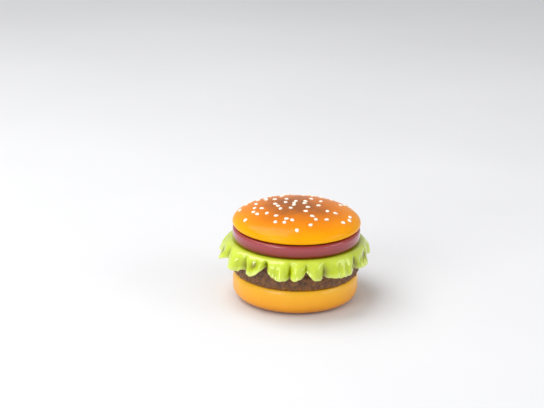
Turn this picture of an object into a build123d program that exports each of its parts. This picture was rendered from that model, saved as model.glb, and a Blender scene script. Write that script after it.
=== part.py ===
from build123d import *
import math
import os
import random

# A novelty telephone shaped like a hamburger.  The whole burger is the handset: the top bun is a lid
# that swings up on a hinge at the back, with the receiver in it, and the lower burger holds the keypad,
# the circuit board, the microphone, the ringer and the line socket.
# Millimetres, +Z up, +Y to the hinge at the back, origin under the middle of the burger on the table.

# ---- overall sizes of the burger's layers ----
BUN_R = 58.5  # top bun at its widest ring
BUN_DOME_H = 16.0  # from that ring up to the crown
BUN_LIP_H = 3.5  # from that ring down to the lip
BUN_LIP_IN = 5.0  # how far the lip lies inside the widest ring
TOMATO_INSET = 0.2  # the tomato slice is this much smaller than the bun
TOMATO_H = 11.9
TOMATO_EDGE_R = 2.4  # rounding of its upper edge
TOMATO_BULGE_IN, TOMATO_BULGE_H = 2.0, 5.5  # rounding of its lower edge
LETTUCE_OVERHANG = 11.0  # how far the leaf stands out past the bun
LETTUCE_DROP = 17.0  # how far its hem hangs below the tomato
LETTUCE_T = 2.2
LETTUCE_SHOULDER_IN = 1.3  # the leaf starts to fall this far inside the tomato's edge
PATTY_PROUD = 1.0  # how far the patty stands out past the bun
PATTY_H = 28.9
PATTY_EDGE_R = 5.0
CLAMPED_IN = 3.0  # from the deck's ledge out to the clamped flanges of the leaf and the patty
HEEL_H = 22.9  # bottom bun
HEEL_INSET = 1.0  # the bottom bun is this much smaller than the top one
HEEL_CORNER_R = 9.5
HEEL_SHOULDER_IN, HEEL_SHOULDER_H = 3.0, 7.0
FOOT_PROUD = 1.5  # rubber feet below the bottom bun
LID_GAP = 0.7  # between the tomato and the closed bun's lip

# ---- walls and clearances ----
WALL = 2.4
PLATE_T = 2.0  # keypad deck and earpiece plate
FIT = 0.3  # between a plate and the ring round it
KEY_FIT = 0.25  # round a key in its window
PIN_FIT = 0.06  # running clearance of the lid on the hinge pin

# ---- hinge ----
HINGE_OUT = 2.0  # the pin's axis lies this far outside the bun's widest ring
HINGE_UP = 0.5  # and this far above the tomato's top
KNUCKLE_R = 3.2
PIN_R = 1.5
LID_KNUCKLE_W = 24.0
BASE_KNUCKLE_W = 7.5
KNUCKLE_GAP = 0.3
HINGE_RELIEF = 0.6  # round a knuckle, in the rim beside it
HINGE_WINDOW_IN = 5.0  # how far the window for the hinge reaches into the bun's lip
ARM_ROOT = 6.0  # how far the lid's hinge arm overlaps the earpiece plate
KNUCKLE_FOOT_D, KNUCKLE_FOOT_H = 3.5, 7.5  # root of the base's knuckles in the tomato's wall
PIN_CHAMFER = 0.3

# ---- keypad ----
RIM_W = 8.1  # flat rim of the tomato round the keypad well
LEDGE_W = 3.2  # ledge that the deck lies on
WELL_WALL = 2.0
WELL_DEPTH = 3.9
KEY_W, KEY_D = 13.0, 9.5
KEY_GAP_X, KEY_GAP_Y = 2.6, 1.6  # between the flanges of neighbouring keys
KEYPAD_Y = 6.75  # middle of the twelve number keys
FUNCTION_KEY_W, FUNCTION_KEY_D, FUNCTION_KEY_GAP = 15.0, 6.5, 2.1
KEY_PROUD = 2.7
KEY_FLANGE = 1.2  # how far the flange under the deck stands out round a key
KEY_FLANGE_T = 1.8
KEY_TRAVEL = 1.0
KEY_CORNER_R = 2.0
KEY_EDGE_R = 0.9
MEMBRANE_T = 0.8
DOME_SLACK = 0.1  # what is left of a rubber dome under a pressed key
DOME_R, DOME_TAPER = 2.8, 0.8
BOARD_T = 1.6
BOARD_MARGIN = 3.0  # between the board's edge and the ledge
MEMBRANE_MARGIN = 1.0
CHIP_W, CHIP_D, CHIP_H, CHIP_STAND, CHIP_Y = 18.0, 7.0, 2.4, 0.4, 4.0
CHIP_LEGS, CHIP_LEG_W, CHIP_LEG_PITCH = 9, 0.6, 2.0
CAP_SLENDER = 3.2

# ---- screws and bosses ----
CASE_BOSS_R = 3.5
CASE_BOSS_GAP = 0.5
CASE_BOSS_DROP = 7.5  # deck boss below the deck
CASE_SCREW_R, CASE_HEAD_R, CASE_HEAD_H, CASE_SCREW_L = 1.4, 2.8, 2.0, 14.0
CASE_SCREW_BRIDGE = 7.8  # wall of the heel's column that the screw's head pulls on
COLUMN_R = 4.0
SMALL_SCREW_R, SMALL_HEAD_R, SMALL_HEAD_H = 1.1, 2.4, 1.0
SCREW_FIT = 0.2
SCREW_END_GAP = 0.5  # below the end of a screw in its hole
BOARD_BOSS_R = 2.5
BOARD_BOSS_GAP = 4.8  # from the keys' flanges to a boss
BOARD_BOSS_YS = (12.0, -16.0)
LID_BOSS_R = 3.2
LID_BOSS_INSET = 6.8  # from the earpiece plate's edge to a boss's axis
LID_SCREW_L = 6.5

# ---- receiver in the lid ----
PLATE_LIFT = 0.5  # the earpiece plate lies this far above the bun's lip
RECEIVER_Y = -20.0
RECEIVER_R = 17.0
RECEIVER_H = 5.0
RECEIVER_WALL = 1.4
RECEIVER_VENT_R = 1.6
CONE_T, CONE_GAP, CONE_NECK_R, CONE_DOME_H = 0.5, 0.6, 4.5, 1.4
RECEIVER_LIP = 4.0  # width of the gasket ring
GASKET_T = 1.0
MAGNET_R, MAGNET_H = 8.5, 3.4
CLAMP_X, CLAMP_T, CLAMP_D, CLAMP_COLLAR = 20.8, 1.2, 10.0, 2.0
POST_R = 2.5
GRILLE_HOLE_R, GRILLE_PITCH = 1.0, 4.2
BUMPER_R, BUMPER_X, BUMPER_Y = 2.5, 42.0, -14.0

# ---- microphone and hook switch ----
MIC_GAP = 3.15  # from the keys' flanges to the microphone's boot
MIC_R, MIC_H, MIC_BOOT_T = 4.9, 4.2, 1.0
MIC_HOLE_R, MIC_HOLE_PITCH = 0.7, 2.3
HOOK_GAP = 2.05  # from the keys' flanges to the hook switch
HOOK_STEM_R, HOOK_FLANGE_R, HOOK_FLANGE_T = 2.0, 2.9, 0.8
HOOK_TRAVEL = 2.5
HOOK_CAVITY_R, HOOK_BODY_W, HOOK_BODY_D = 3.3, 9.0, 8.0
HOOK_SPRING_H, HOOK_SPRING_R, HOOK_WIRE_R, HOOK_TURNS = 4.0, 2.2, 0.25, 4
HOOK_FLOOR_T = 1.2

# ---- inside the bottom bun ----
BALLAST_W, BALLAST_D, BALLAST_H, BALLAST_Y = 48.0, 32.0, 9.0, -18.0
BALLAST_SCREW_X, BALLAST_SCREW_BITE, BALLAST_CORNER_R = 18.0, 1.2, 3.0
BUZZER_R, BUZZER_H, BUZZER_Y, BUZZER_COLLAR_T = 13.5, 6.0, 24.0, 1.6
JACK_W, JACK_D, JACK_H, JACK_BELOW = 13.5, 15.5, 12.5, 4.5
JACK_RIB_T, JACK_CRADLE_H, JACK_CRADLE_SHORT = 1.6, 7.5, 3.0
JACK_SINK = 0.5  # the socket's face lies this far inside the heel's widest line
SOCKET_W, SOCKET_H, SOCKET_DEPTH, SOCKET_SILL = 10.0, 7.3, 12.0, 2.2
LATCH_W, LATCH_H = 4.0, 1.6
SWITCH_X, SWITCH_Y, SWITCH_W, SWITCH_D, SWITCH_H = 27.0, 6.0, 16.0, 8.0, 6.0
SWITCH_WALL = 1.2
KNOB_W, KNOB_D, KNOB_T, KNOB_STEM_W, KNOB_STEM_D = 5.0, 4.4, 1.6, 3.0, 3.0
RINGER_TRAVEL, TONE_TRAVEL = 2.5, 4.0  # ringer: each way from its middle place
KNOB_CLEAR, KNOB_PROUD = 0.3, 0.7
FOOT_R, FOOT_SEAT, FOOT_FIT, FOOT_CHAMFER = 5.0, 1.0, 0.1, 0.5
FOOT_INSET = 5.0  # from the edge of the heel's floor to a foot
TONGUE_IN = 8.0  # from the patty's outside in to the tongue
TONGUE_H, TONGUE_T, TONGUE_FIT = 3.0, 1.6, 0.25
LEAD_R = 0.8

# ---- sesame seeds ----
SEED_COUNT = 58
SEED_SPREAD = 0.9  # of the bun's radius
SEED_CROWDING = 0.62  # 0.5 would spread them evenly, more draws them to the crown
SEED_GAP = 5.6
SEED_BLUNT, SEED_POINT, SEED_W, SEED_FLAT = 1.8, 2.9, 3.5, 0.55
SEED_RISE = 0.2  # of a seed's centre above the crust

# ---- lettuce hem ----
NOTCH_COUNT = 16
NOTCH_R, NOTCH_R_SWING = 4.6, 1.3
NOTCH_SWING_DEG = 5.0

# ---- levels, from the table up ----
Z_HEEL = FOOT_PROUD
Z_PATTY = Z_HEEL + HEEL_H
Z_LEAF = Z_PATTY + PATTY_H
Z_TOMATO = Z_LEAF + LETTUCE_T
Z_RIM = Z_TOMATO + TOMATO_H
Z_LIP = Z_RIM + LID_GAP
Z_RING = Z_LIP + BUN_LIP_H
Z_CROWN = Z_RING + BUN_DOME_H
Z_DECK = Z_RIM - WELL_DEPTH  # top of the deck
Z_UNDER_DECK = Z_DECK - PLATE_T
Z_KEY_BOTTOM = Z_UNDER_DECK - KEY_FLANGE_T
Z_MEMBRANE = Z_KEY_BOTTOM - KEY_TRAVEL - DOME_SLACK  # top of its sheet
Z_BOARD = Z_MEMBRANE - MEMBRANE_T  # top of the board
Z_UNDER_BOARD = Z_BOARD - BOARD_T
Z_CASE_BOSS = Z_UNDER_DECK - CASE_BOSS_DROP
Z_EAR = Z_LIP + PLATE_LIFT  # underside of the earpiece plate
Z_EAR_TOP = Z_EAR + PLATE_T
Z_FLOOR = Z_HEEL + WALL  # inside of the bottom bun
Z_HEM = Z_TOMATO - LETTUCE_DROP
Z_HOOK_FLANGE = Z_UNDER_DECK - HOOK_TRAVEL - HOOK_FLANGE_T  # its underside, with the lid closed
Z_HOOK = Z_HOOK_FLANGE - HOOK_SPRING_H - HOOK_FLOOR_T  # underside of the hook switch

# ---- radii and places that follow ----
TOMATO_R = BUN_R - TOMATO_INSET
WELL_R = TOMATO_R - RIM_W
LEDGE_R = WELL_R - LEDGE_W
DECK_R = WELL_R - FIT
BOARD_R = LEDGE_R - BOARD_MARGIN
CASE_BOSS_RING = LEDGE_R - CASE_BOSS_R - CASE_BOSS_GAP
LIP_R = BUN_R - BUN_LIP_IN  # outer edge of the bun's lip
LIP_IN_R = LIP_R - WALL
EAR_R = LIP_IN_R - FIT
LID_BOSS_RING = EAR_R - LID_BOSS_INSET
PATTY_R = BUN_R + PATTY_PROUD
HEEL_R = BUN_R - HEEL_INSET
LEAF_R = BUN_R + LETTUCE_OVERHANG
HINGE_Y = BUN_R + HINGE_OUT
HINGE_Z = Z_RIM + HINGE_UP
HINGE_HALF = LID_KNUCKLE_W / 2 + KNUCKLE_GAP + BASE_KNUCKLE_W
LID_LEAD_HOLE = (16.0, EAR_R - 8.0)
TONGUE_R = PATTY_R - TONGUE_IN  # outside of the heel's tongue, inside the patty's lower flange
CLAMPED_R = LEDGE_R + CLAMPED_IN
HEEL_FLOOR_R = HEEL_R - HEEL_CORNER_R
FOOT_RING_R = HEEL_FLOOR_R - FOOT_INSET - FOOT_R
KEY_PITCH_X = KEY_W + 2 * KEY_FLANGE + KEY_GAP_X
KEY_PITCH_Y = KEY_D + 2 * KEY_FLANGE + KEY_GAP_Y
KEY_TOP_ROW_Y = KEYPAD_Y + 1.5 * KEY_PITCH_Y
FUNCTION_KEY_X = (FUNCTION_KEY_W + 2 * KEY_FLANGE + KEY_GAP_X) / 2
KEY_BOTTOM_ROW_Y = KEY_TOP_ROW_Y - 3 * KEY_PITCH_Y
FUNCTION_KEY_Y = KEY_BOTTOM_ROW_Y - (KEY_D + FUNCTION_KEY_D) / 2 - 2 * KEY_FLANGE - FUNCTION_KEY_GAP
KEYPAD_X = KEY_PITCH_X + KEY_W / 2 + KEY_FLANGE  # edges of the outermost flanges
KEYPAD_BACK = KEY_TOP_ROW_Y + KEY_D / 2 + KEY_FLANGE
KEYPAD_FRONT = FUNCTION_KEY_Y - FUNCTION_KEY_D / 2 - KEY_FLANGE
BOARD_BOSS_X = KEYPAD_X + BOARD_BOSS_GAP + BOARD_BOSS_R
MIC_Y = KEYPAD_FRONT - MIC_GAP - MIC_BOOT_T - MIC_R
HOOK_Y = KEYPAD_BACK + HOOK_GAP + HOOK_BODY_D / 2
JACK_FACE_Y = HEEL_R - JACK_SINK
JACK_Z = Z_FLOOR + JACK_BELOW


def rod(radius, low, high, x=0.0, y=0.0):
    """An upright cylinder between two levels."""
    return Pos(x, y, (low + high) / 2) * Cylinder(radius, high - low)


def block(width, depth, low, high, x=0.0, y=0.0):
    """An upright box between two levels, centred on x, y."""
    return Pos(x, y, (low + high) / 2) * Box(width, depth, high - low)


def cross_rod(radius, x_low, x_high, y, z):
    """A cylinder lying along X."""
    return Pos((x_low + x_high) / 2, y, z) * Rot(0, 90, 0) * Cylinder(radius, x_high - x_low)


def turned(*edges):
    """The solid of revolution about Z of a closed outline, given as edges in (radius, height)."""
    return revolve(Plane.XZ * make_face(Wire(list(edges))), Axis.Z, 360)


def bend(centre, x_radius, y_radius, start):
    """A quarter of an ellipse in (radius, height), going round from an angle in degrees."""
    return EllipticalCenterArc(centre, x_radius, y_radius, start_angle=start, arc_size=90)


def lines(*points):
    return [Line(a, b) for a, b in zip(points, points[1:])]


def diagonal_places(ring):
    """The four places on a ring at 45 degrees to the axes."""
    step = ring / math.sqrt(2)
    return [(sx * step, sy * step) for sx in (-1, 1) for sy in (-1, 1)]


def board_places():
    return [(side * BOARD_BOSS_X, y) for side in (-1, 1) for y in BOARD_BOSS_YS]


def screw(shank_r, head_r, head_h, length, x, y, seat, upward=True):
    """A pan-head screw whose head bears at the level seat; its shank goes up or down from there."""
    way = 1 if upward else -1
    shank = rod(shank_r, min(seat, seat + way * length), max(seat, seat + way * length), x, y)
    head = rod(head_r, min(seat, seat - way * head_h), max(seat, seat - way * head_h), x, y)
    slot_low = seat - head_h if upward else seat + head_h / 2
    cross = block(head_r * 1.2, head_h * 0.3, slot_low, slot_low + head_h / 2, x, y)
    cross += block(head_h * 0.3, head_r * 1.2, slot_low, slot_low + head_h / 2, x, y)
    return shank + head - cross


def group(solids):
    """Separate solids kept together in one node."""
    return Compound(children=[s for shape in solids for s in shape.solids()])


def lead(*points):
    """A held wire pair along straight runs, with bends as large as the runs allow."""
    radii = []
    for a, b, c in zip(points, points[1:], points[2:]):
        before, after = Vector(*b) - Vector(*a), Vector(*c) - Vector(*b)
        turn = math.radians(before.get_angle(after))
        radii.append(0.45 * min(before.length, after.length) / math.tan(turn / 2))
    path = FilletPolyline(*points, radius=radii)
    section = Plane(origin=path @ 0, z_dir=path % 0) * Circle(LEAD_R)
    return sweep(section, path)


# ---------------------------------------------------------------- the lid


def bun_outer():
    """The top bun as a full body, without its hollow."""
    return turned(
        bend((0, Z_RING), BUN_R, BUN_DOME_H, 0),
        bend((LIP_R, Z_RING), BUN_LIP_IN, BUN_LIP_H, 270),
        *lines((LIP_R, Z_LIP), (0, Z_LIP), (0, Z_CROWN)),
    )


def bun_hollow():
    inner_z = Z_LIP + WALL
    return turned(
        bend((0, Z_RING), BUN_R - WALL, BUN_DOME_H - WALL, 0),
        bend((LIP_R, Z_RING), BUN_LIP_IN - WALL, BUN_LIP_H - WALL, 270),
        *lines(
            (LIP_R, inner_z),
            (LIP_IN_R, inner_z),
            (LIP_IN_R, Z_LIP - 1),
            (0, Z_LIP - 1),
            (0, Z_CROWN - WALL),
        ),
    )


def top_bun_shell():
    outer = bun_outer()
    shell = outer - bun_hollow()
    for x, y in diagonal_places(LID_BOSS_RING):
        shell += rod(LID_BOSS_R, Z_EAR_TOP, Z_CROWN, x, y) & outer
    for x, y in diagonal_places(LID_BOSS_RING):
        shell -= rod(SMALL_SCREW_R, Z_EAR_TOP, Z_EAR_TOP + LID_SCREW_L, x, y)
    window_w = 2 * (HINGE_HALF + HINGE_RELIEF)
    depth = BUN_LIP_IN + WALL + HINGE_WINDOW_IN + 1
    return shell - block(window_w, depth, Z_LIP - 1, Z_RING + FIT, 0, BUN_R + 1 - depth / 2)


def seed_places():
    """Random but repeatable places over the crust, none closer than SEED_GAP."""
    draw = random.Random(11)
    places = []
    while len(places) < SEED_COUNT:
        radius = SEED_SPREAD * BUN_R * draw.random() ** SEED_CROWDING
        angle = draw.uniform(0, 2 * math.pi)
        x, y = radius * math.cos(angle), radius * math.sin(angle)
        turn = draw.uniform(0, 360)
        if all(math.hypot(x - a, y - b) > SEED_GAP for a, b, _ in places):
            places.append((x, y, turn))
    return places


def teardrop():
    """One flattened seed lying along X, round at one end and pointed at the other."""
    half = SEED_W / 2
    radius = (SEED_POINT**2 + half**2) / (2 * half)
    reach = math.degrees(math.asin(SEED_POINT / radius))
    outline = [
        EllipticalCenterArc((0, 0), SEED_BLUNT, half, start_angle=90, arc_size=90),
        Line((-SEED_BLUNT, 0), (SEED_POINT, 0)),
        CenterArc((0, half - radius), radius, 90 - reach, reach),
    ]
    return scale(revolve(make_face(Wire(outline)), Axis.X, 360), by=(1, 1, SEED_FLAT))


def sesame_seeds():
    """Seeds glued on the crust, each cut to the crust's curve underneath."""
    crust = bun_outer()
    seed = teardrop()
    seeds = []
    for x, y, turn in seed_places():
        rise = math.sqrt(1 - (x * x + y * y) / BUN_R**2) * BUN_DOME_H
        normal = Vector(x / BUN_R**2, y / BUN_R**2, rise / BUN_DOME_H**2).normalized()
        centre = Vector(x, y, Z_RING + rise) + normal * SEED_RISE
        seeds.append(Plane(origin=centre, z_dir=normal) * Rot(0, 0, turn) * seed - crust)
    return group(seeds)


def grille_places(pitch, rings):
    """Hole centres in rings of six, twelve and so on round one in the middle."""
    places = [(0.0, 0.0)]
    for ring in range(1, rings + 1):
        for i in range(6 * ring):
            angle = 2 * math.pi * i / (6 * ring)
            places.append((ring * pitch * math.cos(angle), ring * pitch * math.sin(angle)))
    return places


def earpiece_plate():
    """The flat inner face of the lid, with the middle knuckle of the hinge on its back edge."""
    plate = rod(EAR_R, Z_EAR, Z_EAR_TOP)
    arm_start = EAR_R - ARM_ROOT
    plate += block(LID_KNUCKLE_W, HINGE_Y - arm_start, Z_EAR, Z_EAR_TOP, 0, (HINGE_Y + arm_start) / 2)
    plate += cross_rod(KNUCKLE_R, -LID_KNUCKLE_W / 2, LID_KNUCKLE_W / 2, HINGE_Y, HINGE_Z)
    for side in (-1, 1):
        plate += rod(POST_R, Z_EAR_TOP, Z_EAR_TOP + GASKET_T + RECEIVER_H, side * CLAMP_X, RECEIVER_Y)
    plate -= cross_rod(PIN_R + PIN_FIT, -LID_KNUCKLE_W, LID_KNUCKLE_W, HINGE_Y, HINGE_Z)
    for side in (-1, 1):
        plate -= rod(SMALL_SCREW_R, Z_EAR_TOP + 1, Z_CROWN, side * CLAMP_X, RECEIVER_Y)
    for x, y in grille_places(GRILLE_PITCH, 2):
        plate -= rod(GRILLE_HOLE_R, Z_EAR - 1, Z_EAR_TOP + 1, x, RECEIVER_Y + y)
    for x, y in diagonal_places(LID_BOSS_RING):
        plate -= rod(SMALL_SCREW_R + SCREW_FIT, Z_EAR - 1, Z_EAR_TOP + 1, x, y)
        plate -= rod(SMALL_HEAD_R + SCREW_FIT, Z_EAR - 1, Z_EAR + SMALL_HEAD_H, x, y)
    return plate - rod(LEAD_R + SCREW_FIT, Z_EAR - 1, Z_EAR_TOP + 1, *LID_LEAD_HOLE)


def lid_screws():
    seat = Z_EAR + SMALL_HEAD_H
    length = Z_EAR_TOP + LID_SCREW_L - SCREW_END_GAP - seat
    return group(
        screw(SMALL_SCREW_R, SMALL_HEAD_R, SMALL_HEAD_H, length, x, y, seat)
        for x, y in diagonal_places(LID_BOSS_RING)
    )


def lid_bumpers():
    return group(rod(BUMPER_R, Z_DECK, Z_EAR, side * BUMPER_X, BUMPER_Y) for side in (-1, 1))


def receiver_gasket():
    low, high = Z_EAR_TOP, Z_EAR_TOP + GASKET_T
    ring = rod(RECEIVER_R, low, high) - rod(RECEIVER_R - RECEIVER_LIP, low - 1, high + 1)
    return Pos(0, RECEIVER_Y, 0) * ring


def receiver_frame():
    """A shallow steel basket: side wall, perforated back and a seat for the magnet."""
    low = Z_EAR_TOP + GASKET_T
    high = low + RECEIVER_H
    frame = rod(RECEIVER_R, low, high) - rod(RECEIVER_R - RECEIVER_WALL, low - 1, high - RECEIVER_WALL)
    for x, y in grille_places((RECEIVER_R + MAGNET_R) / 2, 1)[1:]:
        frame -= rod(RECEIVER_VENT_R, low, high + 1, x, y)
    return Pos(0, RECEIVER_Y, 0) * frame


def receiver_magnet():
    low = Z_EAR_TOP + GASKET_T + RECEIVER_H
    return rod(MAGNET_R, low, low + MAGNET_H, 0, RECEIVER_Y)


def receiver_cone():
    """A thin paper cone with its coil dome, hung inside the basket."""
    low = Z_EAR_TOP + GASKET_T + CONE_GAP
    high = Z_EAR_TOP + GASKET_T + RECEIVER_H - RECEIVER_WALL - FIT
    rim, neck = RECEIVER_R - RECEIVER_WALL - FIT, CONE_NECK_R
    cone = turned(
        *lines((neck, high), (rim, low), (rim, low + CONE_T), (neck + CONE_T, high), (neck, high)),
    )
    cap = turned(
        bend((0, high - CONE_T), neck + CONE_T, CONE_DOME_H, 270),
        *lines(
            (neck + CONE_T, high - CONE_T),
            (neck + CONE_T, high),
            (0, high),
            (0, high - CONE_T - CONE_DOME_H),
        ),
    )
    return Pos(0, RECEIVER_Y, 0) * (cone + cap)


def receiver_clamp():
    low = Z_EAR_TOP + GASKET_T + RECEIVER_H
    strap = block(2 * (CLAMP_X + POST_R), CLAMP_D, low, low + CLAMP_T)
    strap += rod(MAGNET_R + CLAMP_COLLAR, low, low + CLAMP_T)
    strap -= rod(MAGNET_R + SCREW_FIT, low - 1, low + CLAMP_T + 1)
    for side in (-1, 1):
        strap -= rod(SMALL_SCREW_R + SCREW_FIT, low - 1, low + CLAMP_T + 1, side * CLAMP_X)
    return Pos(0, RECEIVER_Y, 0) * strap


def clamp_screws():
    seat = Z_EAR_TOP + GASKET_T + RECEIVER_H + CLAMP_T
    return group(
        screw(SMALL_SCREW_R, SMALL_HEAD_R, SMALL_HEAD_H, 5.0, side * CLAMP_X, RECEIVER_Y, seat, False)
        for side in (-1, 1)
    )


def receiver_lead():
    """The wire pair from the receiver's terminals to the hole beside the hinge."""
    hole_x, hole_y = LID_LEAD_HOLE
    start_y = RECEIVER_Y + RECEIVER_R
    level = Z_EAR_TOP + 3.0
    return lead((6, start_y, level), (9, start_y + 14, level), (hole_x, hole_y - 12, level - 1),
                (hole_x, hole_y, level - 1), (hole_x, hole_y, Z_EAR))


# ---------------------------------------------------------------- the upper part of the base


def tomato_ring():
    """The glossy tomato slice: a channel ring whose flat top is the rim round the keypad."""
    side_z = Z_TOMATO + TOMATO_BULGE_H
    foot_r = TOMATO_R - TOMATO_BULGE_IN
    edge_r = TOMATO_EDGE_R
    skin_r = TOMATO_R - WALL
    channel_r = WELL_R + WELL_WALL
    ring = turned(
        bend((foot_r, side_z), TOMATO_BULGE_IN, TOMATO_BULGE_H, 270),
        Line((TOMATO_R, side_z), (TOMATO_R, Z_RIM - edge_r)),
        bend((TOMATO_R - edge_r, Z_RIM - edge_r), edge_r, edge_r, 0),
        *lines(
            (TOMATO_R - edge_r, Z_RIM),
            (WELL_R, Z_RIM),
            (WELL_R, Z_UNDER_DECK),
            (LEDGE_R, Z_UNDER_DECK),
            (LEDGE_R, Z_UNDER_DECK - PLATE_T),
            (channel_r, Z_UNDER_DECK - PLATE_T),
            (channel_r, Z_RIM - WALL),
            (skin_r, Z_RIM - WALL),
            (skin_r, side_z),
            (foot_r - WALL, Z_TOMATO),
            (foot_r, Z_TOMATO),
        ),
    )
    arm_half = LID_KNUCKLE_W / 2 + KNUCKLE_GAP
    for side in (-1, 1):
        low_x, high_x = sorted((side * arm_half, side * HINGE_HALF))
        middle = (low_x + high_x) / 2
        back = HINGE_Y + PIN_R
        front = skin_r - KNUCKLE_FOOT_D
        ring += block(BASE_KNUCKLE_W, back - front, HINGE_Z - KNUCKLE_FOOT_H, HINGE_Z - PIN_R, middle,
                      (back + front) / 2)
        ring += cross_rod(KNUCKLE_R, low_x, high_x, HINGE_Y, HINGE_Z)
    ring -= cross_rod(KNUCKLE_R + HINGE_RELIEF, -arm_half, arm_half, HINGE_Y, HINGE_Z)
    return ring - cross_rod(PIN_R, -HINGE_HALF - 1, HINGE_HALF + 1, HINGE_Y, HINGE_Z)


def hinge_pin():
    pin = cross_rod(PIN_R, -HINGE_HALF, HINGE_HALF, HINGE_Y, HINGE_Z)
    return chamfer(pin.edges().filter_by(GeomType.CIRCLE), PIN_CHAMFER)


def number_keys():
    """Name and place of each number key."""
    names = ["1", "2", "3", "4", "5", "6", "7", "8", "9", "star", "0", "hash"]
    return [
        ("key_" + name, (i % 3 - 1) * KEY_PITCH_X, KEY_TOP_ROW_Y - (i // 3) * KEY_PITCH_Y, KEY_W, KEY_D)
        for i, name in enumerate(names)
    ]


def all_keys():
    return number_keys() + [
        ("key_redial", -FUNCTION_KEY_X, FUNCTION_KEY_Y, FUNCTION_KEY_W, FUNCTION_KEY_D),
        ("key_flash", FUNCTION_KEY_X, FUNCTION_KEY_Y, FUNCTION_KEY_W, FUNCTION_KEY_D),
    ]


def key_cap(x, y, width, depth):
    top = Z_DECK + KEY_PROUD
    cap = block(width, depth, Z_KEY_BOTTOM, top)
    cap = fillet(cap.edges().filter_by(Axis.Z), KEY_CORNER_R)
    cap = fillet(cap.edges().group_by(Axis.Z)[-1], KEY_EDGE_R)
    flange = block(width + 2 * KEY_FLANGE, depth + 2 * KEY_FLANGE, Z_KEY_BOTTOM, Z_UNDER_DECK)
    return Pos(x, y, 0) * (cap + flange)


def key_window(x, y, width, depth):
    hole = block(width + 2 * KEY_FIT, depth + 2 * KEY_FIT, Z_UNDER_DECK - 1, Z_DECK + 1)
    return Pos(x, y, 0) * fillet(hole.edges().filter_by(Axis.Z), KEY_CORNER_R + KEY_FIT)


def deck_plate():
    """The keypad deck, with bosses under it for the case screws and the board."""
    deck = rod(DECK_R, Z_UNDER_DECK, Z_DECK)
    for x, y in diagonal_places(CASE_BOSS_RING):
        deck += rod(CASE_BOSS_R, Z_CASE_BOSS, Z_UNDER_DECK, x, y)
    for x, y in board_places():
        deck += rod(BOARD_BOSS_R, Z_BOARD, Z_UNDER_DECK, x, y)
    for x, y in diagonal_places(CASE_BOSS_RING):
        deck -= rod(CASE_SCREW_R, Z_CASE_BOSS - 1, Z_UNDER_DECK, x, y)
    for x, y in board_places():
        deck -= rod(SMALL_SCREW_R, Z_BOARD - 1, Z_UNDER_DECK, x, y)
    for _, x, y, width, depth in all_keys():
        deck -= key_window(x, y, width, depth)
    for x, y in grille_places(MIC_HOLE_PITCH, 1):
        deck -= rod(MIC_HOLE_R, Z_UNDER_DECK - 1, Z_DECK + 1, x, MIC_Y + y)
    deck -= rod(LEAD_R + SCREW_FIT, Z_UNDER_DECK - 1, Z_DECK + 1, *LID_LEAD_HOLE)
    return deck - rod(HOOK_STEM_R + SCREW_FIT, Z_UNDER_DECK - 1, Z_DECK + 1, 0, HOOK_Y)


def key_membrane():
    """One rubber sheet with a hollow-looking dome under each key."""
    half_x = KEYPAD_X - KEY_FLANGE + MEMBRANE_MARGIN
    low_y = KEYPAD_FRONT + KEY_FLANGE - MEMBRANE_MARGIN
    high_y = KEYPAD_BACK - KEY_FLANGE + MEMBRANE_MARGIN
    sheet = block(2 * half_x, high_y - low_y, Z_BOARD, Z_MEMBRANE, 0, (low_y + high_y) / 2)
    for _, x, y, _, _ in all_keys():
        height = Z_KEY_BOTTOM - Z_MEMBRANE
        sheet += Pos(x, y, Z_MEMBRANE + height / 2) * Cone(DOME_R, DOME_R - DOME_TAPER, height)
    return sheet


def main_board():
    board = rod(BOARD_R, Z_UNDER_BOARD, Z_BOARD)
    low, high = Z_UNDER_BOARD - 1, Z_BOARD + 1
    for x, y in diagonal_places(CASE_BOSS_RING):
        board -= rod(CASE_BOSS_R + FIT, low, high, x, y)
    for x, y in board_places():
        board -= rod(SMALL_SCREW_R + SCREW_FIT, low, high, x, y)
    board -= rod(MIC_R + MIC_BOOT_T + FIT, low, high, 0, MIC_Y)
    notch_d = BOARD_R + 1 - (HOOK_Y - HOOK_BODY_D / 2 - FIT)
    return board - block(HOOK_BODY_W + 2 * FIT, notch_d, low, high, 0, BOARD_R + 1 - notch_d / 2)


def board_screws():
    return group(
        screw(SMALL_SCREW_R, SMALL_HEAD_R, SMALL_HEAD_H, 4.6, x, y, Z_UNDER_BOARD)
        for x, y in board_places()
    )


def dialler_chip():
    """The dialling circuit, with its two rows of legs on the board."""
    top = Z_UNDER_BOARD - CHIP_STAND
    chip = block(CHIP_W, CHIP_D, top - CHIP_H, top, 0, CHIP_Y)
    for i in range(CHIP_LEGS):
        x = (i - (CHIP_LEGS - 1) / 2) * CHIP_LEG_PITCH
        for side in (-1, 1):
            y = CHIP_Y + side * CHIP_D / 2
            chip += block(CHIP_LEG_W, CHIP_LEG_W * 2, top - CHIP_LEG_W, Z_UNDER_BOARD, x, y)
    return chip


def capacitors():
    """Three upright cans under the board: place and radius, each CAP_SLENDER radii tall."""
    places = [(-20.0, -6.0, 3.2), (-20.0, 6.0, 2.5), (20.0, -4.0, 4.0)]
    return group(rod(r, Z_UNDER_BOARD - CAP_SLENDER * r, Z_UNDER_BOARD, x, y) for x, y, r in places)


def mic_capsule():
    return rod(MIC_R, Z_UNDER_DECK - MIC_BOOT_T - MIC_H, Z_UNDER_DECK - MIC_BOOT_T, 0, MIC_Y)


def mic_boot():
    """A rubber sleeve that seals the microphone to the deck's holes."""
    low = Z_UNDER_DECK - MIC_BOOT_T - MIC_H
    boot = rod(MIC_R + MIC_BOOT_T, low, Z_UNDER_DECK, 0, MIC_Y)
    boot -= rod(MIC_R, low - 1, Z_UNDER_DECK - MIC_BOOT_T, 0, MIC_Y)
    return boot - rod(MIC_HOLE_PITCH + 1.2, low, Z_UNDER_DECK + 1, 0, MIC_Y)


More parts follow.
